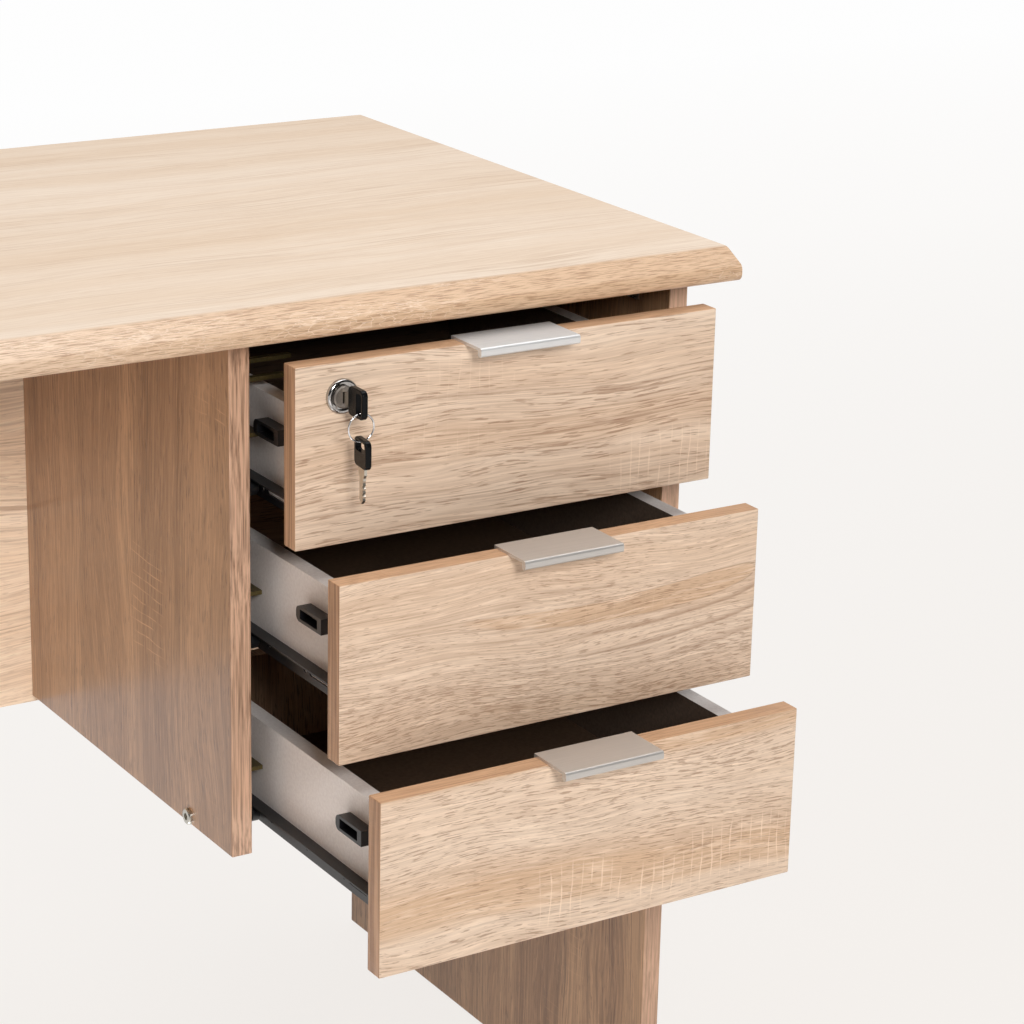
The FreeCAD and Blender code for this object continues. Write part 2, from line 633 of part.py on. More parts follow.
def make_handle(drawer):
    """Lip pull: a plate over the top edge, a rounded lip in front, a flange behind."""
    face, top = -PULLS[drawer], front_top(drawer)
    back = face + FRONT_THICK
    lip_front, lip_back = face - HANDLE_REACH, face - HANDLE_REACH + HANDLE_LIP_THICK
    plate_top, lip_low = top + HANDLE_SHEET, top + HANDLE_SHEET - HANDLE_LIP
    flange_back, flange_low = back + HANDLE_SHEET, top - HANDLE_FLANGE
    outline = [(lip_front, plate_top), (flange_back, plate_top), (flange_back, flange_low),
               (back, flange_low), (back, top), (lip_back, top), (lip_back, lip_low), (lip_front, lip_low)]
    left = PEDESTAL_MIDDLE - HANDLE_LENGTH / 2
    handle = profile_along_x(outline, left, left + HANDLE_LENGTH)
    rounded = [(lip_front, plate_top), (lip_back, lip_low), (lip_front, lip_low)]
    edges = [edge for y, z in rounded for edge in edge_along_x(handle, y, z)]
    return drilled(handle.makeFillet(HANDLE_LIP_RADIUS, edges), seats(handle_screws(drawer), SCREW_SEAT))


def make_catch(drawer):
    """Plastic block on the left side, with a window towards the lock bar."""
    start = FRONT_THICK - PULLS[drawer] + CATCH_SETBACK
    end = start + CATCH_LENGTH
    low = catch_low(drawer)
    high = low + CATCH_HEIGHT
    face = SIDE_OUTER - CATCH_THICK
    body = block(face, SIDE_OUTER, start, end, low, high)
    body = body.makeFillet(CATCH_ROUND, edge_along_x(body, end, low) + edge_along_x(body, end, high))
    window = block(face, SIDE_OUTER - CATCH_BACK, start + CATCH_END_WALL, end - CATCH_END_WALL,
                   low + CATCH_WALL, high - CATCH_WALL)
    return body.cut(window)


def make_drawer(drawer):
    pull, low, top = PULLS[drawer], box_low(drawer), front_top(drawer)
    back_of_front = FRONT_THICK - pull
    end = back_of_front + BOX_DEPTH
    floor = low + BOTTOM_THICK
    right_inner = 2 * PEDESTAL_MIDDLE - SIDE_INNER
    screws, dowels, lips = box_fasteners(drawer)
    lip_seats = seats(lips, LIP_SEAT)
    box_cuts = screws + dowels + lip_seats

    front = board(FRONT_LEFT, FRONT_RIGHT, -pull, back_of_front, top - FRONT_HEIGHT, top)
    front = drilled(front, dowels + seats(handle_screws(drawer), SCREW_SEAT))
    if drawer == "top":
        front = front.cut(rod(LOCK_BARREL_RADIUS + HOLE_FIT, (LOCK_X, -pull, LOCK_Z), ALONG_Y, FRONT_THICK))
    side = block(SIDE_OUTER, SIDE_INNER, back_of_front, end, floor, low + SIDE_HEIGHT)
    left_side, right_side = [drilled(shape, box_cuts) for shape in pair(side)]
    back = block(SIDE_INNER, right_inner, end - SIDE_THICK, end, floor, low + SIDE_HEIGHT)
    bottom = block(SIDE_OUTER, 2 * PEDESTAL_MIDDLE - SIDE_OUTER, back_of_front, end, low, floor)
    save(drawer + "_drawer_front", [front])
    save(drawer + "_drawer_left_side", [left_side])
    save(drawer + "_drawer_right_side", [right_side])
    save(drawer + "_drawer_back", [drilled(back, screws)])
    save(drawer + "_drawer_bottom", [drilled(bottom, lip_seats)])
    save(drawer + "_drawer_handle", [make_handle(drawer)])
    save(drawer + "_drawer_lock_catch", [make_catch(drawer)])
    save(drawer + "_drawer_fasteners", placed_all(screws + dowels + lips + handle_screws(drawer)))
    make_runners(drawer, lip_seats)


# Central lock on the side panel
def make_lock_bar():
    front, back = BAR_SETBACK, BAR_SETBACK + BAR_WIDTH
    inner = PEDESTAL_INNER + BAR_GAP
    bar = block(inner, BAR_OUTER, front, back, PEDESTAL_BOTTOM + BAR_BOTTOM, BAR_TOP)
    save("lock_bar", [bar])

    stops = []
    for drawer in PULLS:
        top = catch_low(drawer) - STOP_GAP
        stops.append(block(BAR_OUTER, SIDE_OUTER - STOP_END_GAP, front, front + STOP_LENGTH,
                           top - STOP_THICK, top))
    save("lock_bar_stops", stops)

    arm_front = CRANK_PIN_START + CRANK_PIN_GAP
    arm_back = arm_front + FORK_DEPTH
    arm_end = LOCK_X + FORK_PAST_AXIS
    plate = block(BAR_OUTER, BAR_OUTER + FORK_PLATE, front, back, FORK_LOW, FORK_TOP)
    lower = block(BAR_OUTER, arm_end, arm_front, arm_back, FORK_LOW, FORK_LOW + FORK_ARM)
    upper = block(BAR_OUTER, arm_end, arm_front, arm_back, FORK_TOP - FORK_ARM, FORK_TOP)
    save("lock_bar_fork", [fused([plate, lower, upper])])

    guides = []
    for share in GUIDE_SHARES:
        z = PEDESTAL_BOTTOM + share * PEDESTAL_HEIGHT
        slot_outer = BAR_OUTER + BAR_GAP
        saddle = block(PEDESTAL_INNER, slot_outer + GUIDE_WALL, front - GUIDE_WALL, back + GUIDE_WALL,
                       z, z + GUIDE_HEIGHT)
        slot = block(PEDESTAL_INNER, slot_outer, front - BAR_GAP, back + BAR_GAP, z, z + GUIDE_HEIGHT)
        guides.append(saddle.cut(slot))
    save("lock_bar_guides", guides)


# Lock in the top front
def make_lock():
    face = -PULLS["top"]
    flange_face = face - LOCK_FLANGE
    flange = rod(LOCK_FLANGE_RADIUS, (LOCK_X, flange_face, LOCK_Z), ALONG_Y, LOCK_FLANGE)
    flange = flange.makeFillet(LOCK_FLANGE_ROUND, rim_at(flange, flange_face))
    barrel_length = FRONT_THICK + LOCK_BARREL_PAST
    barrel = rod(LOCK_BARREL_RADIUS, (LOCK_X, face, LOCK_Z), ALONG_Y, barrel_length)
    groove = rod(LOCK_GROOVE_RADIUS, (LOCK_X, flange_face, LOCK_Z), ALONG_Y, LOCK_GROOVE_DEPTH)
    bore = rod(PLUG_RADIUS + PLUG_FIT, (LOCK_X, flange_face, LOCK_Z), ALONG_Y,
               barrel_length + LOCK_FLANGE)
    save("lock_housing", [fused([flange, barrel]).cut(groove).cut(bore)])

    corners = [Vector(LOCK_X + x, face + FRONT_THICK, LOCK_Z + z) for x, z in hexagon(LOCK_NUT_RADIUS)]
    nut = Part.Face(Part.makePolygon(corners)).extrude(ALONG_Y * LOCK_NUT)
    hole = rod(LOCK_BARREL_RADIUS + HOLE_FIT, (LOCK_X, face + FRONT_THICK, LOCK_Z), ALONG_Y, LOCK_NUT)
    save("lock_nut", [nut.cut(hole)])

    plug_face = flange_face - PLUG_PROUD
    head_length = PLUG_PROUD + LOCK_GROOVE_DEPTH - PLUG_HEAD_GAP
    head = rod(PLUG_HEAD_RADIUS, (LOCK_X, plug_face, LOCK_Z), ALONG_Y, head_length)
    head = head.makeChamfer(PLUG_CHAMFER, rim_at(head, plug_face))
    plug = rod(PLUG_RADIUS, (LOCK_X, plug_face, LOCK_Z), ALONG_Y, face + CRANK_START - plug_face)
    crank = rod(CRANK_RADIUS, (LOCK_X, face + CRANK_START, LOCK_Z), ALONG_Y, CRANK_THICK)
    pin_foot = (LOCK_X - CRANK_ARM, face + CRANK_PIN_START, LOCK_Z)
    pin = rod(CRANK_PIN_RADIUS, pin_foot, ALONG_Y, CRANK_PIN_LENGTH)
    plug = fused([head, plug, crank, pin])
    for fit, end in ((KEYWAY_FIT, face + KEY_TIP + KEYWAY_FIT), (KEYWAY_MOUTH_FIT, plug_face + KEYWAY_MOUTH)):
        half_sheet = KEY_SHEET / 2 + fit
        half_width = KEY_WIDTH / 2 + fit
        plug = plug.cut(block(LOCK_X - half_sheet, LOCK_X + half_sheet, plug_face, end,
                              LOCK_Z - half_width, LOCK_Z + half_width))
    save("lock_plug", [plug])


# Keys, made upright: the blade points down, the ring hole is up, the teeth face -Y
def make_key_blade():
    half = KEY_WIDTH / 2
    pitch = KEY_TEETH_SPAN / len(KEY_TOOTH_DEPTHS)
    shoulder = KEY_SHOULDER_WIDTH / 2
    waist = -KEY_SHOULDER_LENGTH - KEY_SHOULDER_TAPER
    outline = [(shoulder, KEY_IN_HEAD), (shoulder, -KEY_SHOULDER_LENGTH), (half, waist),
               (half, half - KEY_LENGTH), (0, -KEY_LENGTH), (-half, half - KEY_LENGTH)]
    for number, depth in enumerate(KEY_TOOTH_DEPTHS):
        z = half - KEY_LENGTH + number * pitch
        outline.append((depth - half, z + KEY_TOOTH_SKEW * pitch))
        outline.append((-half, z + pitch))
    outline += [(-half, waist), (-shoulder, -KEY_SHOULDER_LENGTH), (-shoulder, KEY_IN_HEAD)]
    return profile_along_x(outline, -KEY_SHEET / 2, KEY_SHEET / 2)


def make_key_head(rise):
    """Plastic head with a wide ring hole, set off from the blade's middle line by rise."""
    half_thick, half_width = HEAD_THICK / 2, HEAD_WIDTH / 2
    body = block(-half_thick, half_thick, rise - half_width, rise + half_width, 0, HEAD_LENGTH)
    corners = [edge for edge in body.Edges if abs(edge.tangentAt(edge.FirstParameter).x) > 0.5]
    body = body.makeFillet(HEAD_ROUND, corners)
    rims = [edge for edge in body.Edges if abs(abs(edge.CenterOfMass.x) - half_thick) < 1e-6]
    body = body.makeFillet(HEAD_EDGE_ROUND, rims)
    hole = block(-half_thick, half_thick, rise - RING_HOLE_WIDTH / 2, rise + RING_HOLE_WIDTH / 2,
                 RING_HOLE_END - RING_HOLE_LENGTH, RING_HOLE_END)
    corners = [edge for edge in hole.Edges if abs(edge.tangentAt(edge.FirstParameter).x) > 0.5]
    return body.cut(hole.makeFillet(RING_HOLE_ROUND, corners)).cut(make_key_blade())


def make_keys():
    head_y = -PULLS["top"] - HEAD_FROM_FRONT
    laid = Placement(Vector(LOCK_X, head_y, LOCK_Z), Rotation(ALONG_X, 90))
    turn = Rotation(ALONG_Z, -SPARE_TURN)
    on_wire = Vector(LOCK_X, -PULLS["top"] + RING_Y, SPARE_BASE_Z)
    hung = Placement(on_wire - turn.multVec(ALONG_Y * SPARE_OFFSET), turn)
    pieces = {"key_blade": (make_key_blade(), laid), "key_head": (make_key_head(HEAD_RISE), laid),
              "spare_key_blade": (make_key_blade(), hung), "spare_key_head": (make_key_head(0.0), hung)}
    for name, (shape, placement) in pieces.items():
        shape.Placement = placement
        save(name, [shape])
    ring_middle = Vector(LOCK_X, -PULLS["top"] + RING_Y, RING_Z)
    save("key_ring", [Part.makeTorus(RING_RADIUS, RING_WIRE_RADIUS, ring_middle, ALONG_Y)])


os.makedirs("parts", exist_ok=True)
make_carcass()
for drawer_name in PULLS:
    make_drawer(drawer_name)
make_lock_bar()
make_lock()
make_keys()
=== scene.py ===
import math

import bpy
from mathutils import Matrix, Vector


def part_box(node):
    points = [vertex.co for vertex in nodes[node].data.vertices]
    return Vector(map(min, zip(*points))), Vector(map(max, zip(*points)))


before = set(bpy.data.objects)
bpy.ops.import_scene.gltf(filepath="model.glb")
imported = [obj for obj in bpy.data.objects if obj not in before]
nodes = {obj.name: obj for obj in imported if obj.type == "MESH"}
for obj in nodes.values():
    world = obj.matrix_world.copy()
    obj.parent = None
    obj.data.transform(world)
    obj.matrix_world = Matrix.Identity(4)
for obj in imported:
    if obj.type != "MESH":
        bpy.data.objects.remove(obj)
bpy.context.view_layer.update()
DRAWERS = ("top", "middle", "bottom")
X, Y, Z = 0, 1, 2


# Shader helpers
class Shader:
    """A node material, with short calls for the nodes it needs."""

    # how square to an axis a face has to be, to count as facing it
    FACING = ((0.6, 0.0), (0.9, 1.0))

    def __init__(self, name):
        self.material = bpy.data.materials.new(name)
        self.material.use_nodes = True
        self.nodes = self.material.node_tree.nodes
        self.links = self.material.node_tree.links
        self.surface = self.nodes["Principled BSDF"]
        self.place = self.nodes.new("ShaderNodeTexCoord")

    def feed(self, socket, value):
        """Links a socket to another node, or sets it to a plain value."""
        if isinstance(value, bpy.types.NodeSocket):
            self.links.new(value, socket)
        else:
            socket.default_value = value

    def math(self, operation, *values, clamp=False):
        node = self.nodes.new("ShaderNodeMath")
        node.operation = operation
        node.use_clamp = clamp
        for socket, value in zip(node.inputs, values):
            self.feed(socket, value)
        return node.outputs[0]

    def plus(self, first, second):
        return self.math("ADD", first, second)

    def minus(self, first, second):
        return self.math("SUBTRACT", first, second)

    def times(self, first, second):
        return self.math("MULTIPLY", first, second)

    def most(self, first, *others):
        for other in others:
            first = self.math("MAXIMUM", first, other)
        return first

    def along(self, scale, shift=(0, 0, 0)):
        """Object coordinates, stretched by a scale for each axis and shifted."""
        node = self.nodes.new("ShaderNodeMapping")
        self.links.new(self.place.outputs["Object"], node.inputs["Vector"])
        node.inputs["Scale"].default_value = scale
        node.inputs["Location"].default_value = shift
        return node.outputs[0]

    def noise(self, vector, detail=2.0, roughness=0.5):
        node = self.nodes.new("ShaderNodeTexNoise")
        self.links.new(vector, node.inputs["Vector"])
        node.inputs["Scale"].default_value = 1.0
        node.inputs["Detail"].default_value = detail
        node.inputs["Roughness"].default_value = roughness
        return node.outputs["Fac"]

    def shifted(self, vector, amount, axis):
        """Adds a number to one axis of a vector."""
        push = self.nodes.new("ShaderNodeCombineXYZ")
        self.feed(push.inputs[axis], amount)
        node = self.nodes.new("ShaderNodeVectorMath")
        self.links.new(vector, node.inputs[0])
        self.links.new(push.outputs[0], node.inputs[1])
        return node.outputs[0]

    def ramp(self, value, stops):
        """Grey ramp: stops are (position, level)."""
        node = self.nodes.new("ShaderNodeValToRGB")
        elements = node.color_ramp.elements
        while len(elements) < len(stops):
            elements.new(0.5)
        for element, (position, level) in zip(elements, stops):
            element.position = position
            element.color = (level, level, level, 1)
        self.links.new(value, node.inputs[0])
        return node.outputs[0]

    def spread(self, noise, low, high):
        """A range of levels over the middle of a noise."""
        return self.ramp(noise, ((0.3, low), (0.7, high)))

    def mix(self, factor, first, second):
        """The first colour where the factor is 0, the second where it is 1."""
        node = self.nodes.new("ShaderNodeMix")
        node.data_type = "RGBA"
        for number, value in ((0, factor), (6, first), (7, second)):
            self.feed(node.inputs[number], value)
        return node.outputs[2]

    def fade(self, value, start, end):
        """1 below start, 0 above end, smooth between."""
        node = self.nodes.new("ShaderNodeMapRange")
        node.interpolation_type = "SMOOTHSTEP"
        self.links.new(value, node.inputs["Value"])
        for name, number in (("From Min", start), ("From Max", end), ("To Min", 1.0), ("To Max", 0.0)):
            node.inputs[name].default_value = number
        return node.outputs[0]

    def window(self, value, centre, half, soft):
        """1 within half of the centre, with soft borders."""
        away = self.math("ABSOLUTE", self.minus(value, centre))
        return self.fade(away, half - soft, half + soft)

    def cracks(self, vector, width):
        """Thin lines between the cells of a cell pattern."""
        node = self.nodes.new("ShaderNodeTexVoronoi")
        node.feature = "DISTANCE_TO_EDGE"
        self.links.new(vector, node.inputs["Vector"])
        node.inputs["Scale"].default_value = 1.0
        return self.fade(node.outputs["Distance"], width * 0.4, width)

    def part_of(self, output, axis):
        """One axis of a coordinate output."""
        node = self.nodes.new("ShaderNodeSeparateXYZ")
        self.links.new(self.place.outputs[output], node.inputs[0])
        return node.outputs[axis]

    def facing(self, axis):
        """1 on faces whose normal lies along an axis, either way."""
        return self.ramp(self.math("ABSOLUTE", self.part_of("Normal", axis)), self.FACING)

    def bump(self, height, strength, distance):
        node = self.nodes.new("ShaderNodeBump")
        node.inputs["Strength"].default_value = strength
        node.inputs["Distance"].default_value = distance
        self.links.new(height, node.inputs["Height"])
        self.links.new(node.outputs[0], self.surface.inputs["Normal"])

    def set(self, **values):
        """Sets the surface's sockets, named with _ for a space."""
        for name, value in values.items():
            self.feed(self.surface.inputs[name.replace("_", " ")], value)


def linear(red, green, blue):
    """A display colour, 0 to 255, as the renderer's linear colour."""
    levels = []
    for value in (red, green, blue):
        share = value / 255
        levels.append(share / 12.92 if share <= 0.04045 else ((share + 0.055) / 1.055) ** 2.4)
    return (*levels, 1)


def dress(material, *names):
    for name in names:
        slots = nodes[name].data.materials
        slots.clear()
        slots.append(material)


# Layers of the oak print: repeats per metre along the grain, across it and through the board,
# an offset that keeps the layers apart, and the noise's detail and roughness
LAYERS = {
    "wander": ((3.2, 9.0, 6.0), 0.0, 2.0, 0.5),
    "warp": ((14.0, 60.0, 6.0), 0.0, 3.0, 0.5),
    "broad": ((0.9, 26.0, 3.0), 0.0, 3.0, 0.55),
    "streak": ((9.0, 520.0, 30.0), 2.6, 3.0, 0.6),
    "bundle": ((1.6, 38.0, 4.0), 4.4, 2.0, 0.5),
    "fibre": ((16.0, 900.0, 60.0), 1.1, 3.0, 0.6),
    "cloud": ((7.0, 40.0, 6.0), 7.7, 2.0, 0.5),
    "fleck": ((26.0, 420.0, 20.0), 3.9, 3.0, 0.6),
    "drift": ((30.0, 14.0, 2.0), 9.1, 2.0, 0.5),
    "patch": ((5.5, 13.0, 3.0), 12.3, 1.5, 0.5),
    "broken": ((75.0, 60.0, 20.0), 5.5, 2.0, 0.5),
    "short": ((66.0, 1050.0, 1050.0), 2.9, 3.0, 0.6),
    "sliver": ((15.0, 700.0, 700.0), 1.7, 3.0, 0.6),
    "end_sliver": ((420.0, 9.0, 420.0), 3.1, 3.0, 0.6),
}
PORE_DEPTH, PORE_NOISE = 60.0, (2.2, 2.0, 0.5)
CRACK_SIZE, CRACK_OFFSET, CRACK_WIDTH, CRACK_BEND = (90.0, 190.0, 190.0), 6.6, 0.05, 3.0

# Ramp stops that turn a layer into a share
STOPS = {
    "broad": ((0.36, 0.0), (0.66, 1.0)),
    "pore": ((0.585, 0.0), (0.65, 1.0)),
    "bundle": ((0.42, 0.15), (0.66, 1.0)),
    "streak": ((0.49, 0.0), (0.62, 1.0)),
    "fleck": ((0.52, 0.0), (0.72, 0.6)),
    "patch": ((0.64, 0.0), (0.76, 0.5)),
    "broken": ((0.38, 0.05), (0.58, 1.0)),
    "short": ((0.46, 0.0), (0.64, 0.7)),
    "crack": ((0.45, 0.0), (0.65, 0.4)),
    "end_sliver": ((0.38, 0.1), (0.60, 0.95)),
    "outline_along": ((0.02, 0.0), (0.5, 0.6), (0.9, 0.8)),
    "outline_broken": ((0.35, 0.2), (0.6, 1.0)),
    "ring": ((0.62, 0.0), (0.90, 1.0), (1.0, 0.0)),
    "ring_along": ((0.2, 0.0), (0.6, 0.9)),
}

# How far grain lines wander, and bands and flames warp, in metres
WANDER_REACH, BAND_WARP, FLAME_WARP = 0.05, 0.010, 0.005

# How far apart seeds and offsets set their noise, and how much clouds add to the pores
SEED_STEPS, OFFSET_STEP, PORE_CLOUDS = (3.7, 1.9, 5.3), 0.7, 0.24

# Saw strokes: repeats per metre across and along the grain, half width and softness in metres
ACROSS_PITCH, ALONG_PITCH, ALONG_SHARE, STROKE_DRIFT = 118.0, 150.0, 0.55, 1.5
STROKE_HALF, STROKE_SOFT = 0.00045, 0.0003
SPOT_SOFT_ALONG, SPOT_SOFT_ACROSS = 0.012, 0.008

# Flame: how its width grows to the tip, and where its heart, outline and rings lie by level
FLAME_GROWTH, FLAME_TIP = 0.8, 14.0
HEART_BORDER = (-0.12, 0.05)
OUTLINE_WINDOW = (-0.04, 0.07, 0.06)
RING_PITCH, RING_TOP, RING_END = 0.62, (-1.2, -0.4), (3.5, 6.0)

# The largest share of each layer in the colour
HONEY_SHARE, FIBRE_SHARE, FLECK_SHARE, STREAK_SHARE = 0.68, 0.34, 0.75, 0.5
OUTLINE_SHARE, PORE_SHARE, MARK_SHARE = 0.62, 0.66, 0.8
BRIGHTER = 1.14

# Front strip of the top: its soft border on Y, and where it turns paler along the grain, in metres
STRIP_BORDER, STRIP_PALER, STRIP_PALER_SHARE = (-0.002, 0.003), (-0.2, 0.35), 0.5

# Surface of the oak: roughness about its gloss, and the bump's strength and distance in metres
GLOSS_RANGE, COAT_ROUGHNESS, OAK_IOR = (-0.05, 0.1), 0.22, 1.48
FIBRE_HEIGHT, OAK_BUMP = 0.3, (0.3, 0.0004)


class OakPrint(Shader):
    """Printed oak on a board; grain and face are the axes of the grain and of the board's thickness."""

    def __init__(self, name, grain, face, seed):
        super().__init__(name)
        self.grain, self.face, self.across = grain, face, X + Y + Z - grain - face
        self.seed = seed
        self.far = self.part_of("Object", self.grain)
        self.over = self.part_of("Object", self.across)
        self.wander = self.sway("wander", WANDER_REACH)
        self.lane = self.plus(self.over, self.wander)
        self.fibre = self.grain_noise(*LAYERS["fibre"])
        self.cloud = self.straight_noise(*LAYERS["cloud"])

    def stretched(self, size, offset):
        """Object coordinates in repeats per metre along the grain, across it and through the board."""
        scale = [0, 0, 0]
        scale[self.grain], scale[self.across], scale[self.face] = size
        shift = [self.seed * step for step in SEED_STEPS]
        shift[X] += offset
        shift[Y] += offset * OFFSET_STEP
        return self.along(scale, shift)

    def straight_noise(self, size, offset, detail, roughness):
        """Noise that lies square to the board."""
        return self.noise(self.stretched(size, offset), detail, roughness)

    def grain_noise(self, size, offset, detail, roughness):
        """Noise that follows the wander of the grain."""
        bent = self.shifted(self.stretched(size, offset), self.times(self.wander, size[1]), self.across)
        return self.noise(bent, detail, roughness)

    def sway(self, name, reach):
        """A layer as a shift to either side, in metres."""
        return self.times(self.minus(self.straight_noise(*LAYERS[name]), 0.5), reach)

    def grain_share(self, name):
        """A layer that follows the grain, from 0 to 1."""
        return self.ramp(self.grain_noise(*LAYERS[name]), STOPS[name])

    def straight_share(self, name):
        """A layer that lies square to the board, from 0 to 1."""
        return self.ramp(self.straight_noise(*LAYERS[name]), STOPS[name])

    def pores(self, size, dense):
        """Short dark pores, closer together in clouds and in one lane."""
        amount = self.times(self.minus(self.cloud, 0.5), PORE_CLOUDS)
        if dense is not None:
            *lane, extra = dense
            amount = self.plus(amount, self.times(self.window(self.lane, *lane), extra))
        dash = self.grain_noise((*size, PORE_DEPTH), *PORE_NOISE)
        return self.ramp(self.plus(dash, amount), STOPS["pore"])

    def streaks(self, lanes):
        """Long dark streaks, gathered in bundles and in given lanes."""
        groups = self.most(self.grain_share("bundle"), *[self.window(self.lane, *lane) for lane in lanes])
        return self.times(self.grain_share("streak"), groups)

    def band(self, middle, half, soft):
        """A honey band along the grain, with warped borders."""
        return self.window(self.plus(self.lane, self.sway("warp", BAND_WARP)), middle, half, soft)

    def flame(self, first, last, middle, sag, half):
        """A pointed figure between two places along the grain: its heart, and its outline with rings."""
        reach = self.math("DIVIDE", self.minus(self.far, first), last - first, clamp=True)
        # a parabola that is as high as the sag half way
        bow = self.times(self.times(reach, self.minus(1.0, reach)), 4 * sag)
        side = self.plus(self.plus(self.minus(self.over, middle), bow), self.sway("warp", FLAME_WARP))
        side = self.math("DIVIDE", side, half)
        tip = self.minus(1.0, self.math("POWER", reach, FLAME_TIP))
        width = self.times(self.math("POWER", reach, FLAME_GROWTH), tip)
        level = self.minus(width, self.times(side, side))
        outside = self.times(level, -1.0)
        heart = self.fade(outside, *HEART_BORDER)
        outline = self.times(self.window(level, *OUTLINE_WINDOW), self.ramp(reach, STOPS["outline_along"]))
        outline = self.times(outline, self.ramp(self.fibre, STOPS["outline_broken"]))
        away = self.math("SQRT", self.most(outside, 0.0))
        rings = self.ramp(self.math("FRACT", self.times(away, RING_PITCH)), STOPS["ring"])
        below = self.times(self.fade(side, *RING_TOP), self.fade(away, *RING_END))
        below = self.times(below, self.ramp(reach, STOPS["ring_along"]))
        return heart, self.most(outline, self.times(rings, below))

    def strokes(self, position, pitch, drift):
        """Thin lines at an even pitch."""
        turn = self.math("FRACT", self.plus(self.times(position, pitch), drift))
        return self.window(turn, 0.5, STROKE_HALF * pitch, STROKE_SOFT * pitch)

    def saw_marks(self, spots):
        """Saw strokes across the grain, with fainter ones along it, in patches and at given spots."""
        drift = self.times(self.straight_noise(*LAYERS["drift"]), STROKE_DRIFT)
        along = self.times(self.strokes(self.lane, ALONG_PITCH, drift), ALONG_SHARE)
        mark = self.most(self.strokes(self.far, ACROSS_PITCH, drift), along)
        area = self.straight_share("patch")
        for far, far_half, over, over_half in spots:
            spot = self.times(self.window(self.far, far, far_half, SPOT_SOFT_ALONG),
                              self.window(self.over, over, over_half, SPOT_SOFT_ACROSS))
            area = self.most(area, spot)
        return self.times(self.times(mark, area), self.straight_share("broken"))

    def front_strip(self, colour, pale, bright, limit, strip_colour, strip_brown):
        """The grainier print on the rounded front edge of the top, which reaches back to limit on Y."""
        near = self.fade(self.part_of("Object", Y), *[limit + border for border in STRIP_BORDER])
        cells = self.stretched(CRACK_SIZE, CRACK_OFFSET)
        cells = self.shifted(cells, self.times(self.fibre, CRACK_BEND), self.grain)
        crack = self.times(self.cracks(cells, CRACK_WIDTH), self.ramp(self.cloud, STOPS["crack"]))
        paler = self.times(self.fade(self.far, *STRIP_PALER), STRIP_PALER_SHARE)
        paler = self.mix(paler, strip_colour, pale)
        grainy = self.mix(crack, self.mix(self.straight_share("short"), paler, strip_brown), bright)
        return self.mix(near, colour, grainy)

    def edge_bands(self, colour, edge, brown, streaks):
        """Bands on the narrow faces: streaked along the grain, flecked on its ends."""
        sliver = self.grain_noise(*LAYERS["sliver"])
        plain = self.mix(self.ramp(sliver, ((0.40, 0.0), (0.70, streaks))), edge, brown)
        ends = self.mix(self.straight_share("end_sliver"), edge, brown)
        return self.mix(self.facing(self.face), self.mix(self.facing(self.grain), plain, ends), colour)


def oak(name, grain, face, seed, pale, tan, brown, honey, edge=None, pores=1.0, streaks=1.0, saw=1.0,
        gloss=0.42, coat=0.0, flame=None, bands=(), saw_at=(), dense=None, dark_at=(), strip=None,
        edge_streaks=0.25, pore_size=(68.0, 800.0), contrast=1.0):
    """An oak print with its figures; their places are in metres."""
    board = OakPrint(name, grain, face, seed)
    bright = [min(1.0, BRIGHTER * value) for value in pale[:3]] + [1]
    pore = board.times(board.pores(pore_size, dense), pores)
    hearts = [board.band(*band) for band in bands]
    outline = None
    if flame is not None:
        heart, outline = board.flame(*flame)
        hearts.append(heart)

    colour = board.mix(board.grain_share("broad"), pale, tan)
    if hearts:
        colour = board.mix(board.times(board.most(*hearts), HONEY_SHARE), colour, honey)
    colour = board.mix(board.ramp(board.fibre, ((0.38, 0.0), (0.72, FIBRE_SHARE * contrast))), colour, brown)
    colour = board.mix(board.times(board.grain_share("fleck"), FLECK_SHARE * contrast), colour, bright)
    colour = board.mix(board.times(board.streaks(dark_at), STREAK_SHARE * streaks), colour, brown)
    if outline is not None:
        colour = board.mix(board.times(outline, OUTLINE_SHARE), colour, brown)
    colour = board.mix(board.times(pore, PORE_SHARE), colour, brown)
    colour = board.mix(board.times(board.saw_marks(saw_at), MARK_SHARE * saw), colour, bright)
    if strip is not None:
        colour = board.front_strip(colour, pale, bright, *strip)
    if edge is not None:
        colour = board.edge_bands(colour, edge, brown, edge_streaks)
    low, high = [gloss + step for step in GLOSS_RANGE]
    board.set(Base_Color=colour, Roughness=board.ramp(board.fibre, ((0.2, low), (0.8, high))))
    board.set(IOR=OAK_IOR, Coat_Weight=coat, Coat_Roughness=COAT_ROUGHNESS)
    board.bump(board.minus(board.times(board.fibre, FIBRE_HEIGHT), pore), *OAK_BUMP)
    return board.material


# Oak colours: pale, tan, brown and honey
HONEY = linear(218, 180, 143)
BROWN = linear(146, 105, 75)
OAK = (linear(240, 216, 192), linear(225, 195, 167), BROWN, HONEY)
TOP = (linear(236, 217, 197), linear(227, 203, 178), linear(186, 150, 116), HONEY)
# painted light: the modesty panel gets a paler copy of the same oak print, standing for the light that falls
# on it
MODESTY_PAINTED_LIGHT = (linear(250, 228, 203), linear(236, 206, 176), BROWN, HONEY)
# painted shade: the side and leg panels get darker, browner copies of the same oak print, standing for the
# shade on their faces
SIDE_PAINTED_SHADE = (linear(192, 149, 111), linear(146, 106, 73), linear(94, 62, 39), linear(155, 112, 76))
LEG_PAINTED_SHADE = (linear(206, 163, 123), linear(160, 119, 85), linear(104, 71, 46), linear(168, 124, 87))
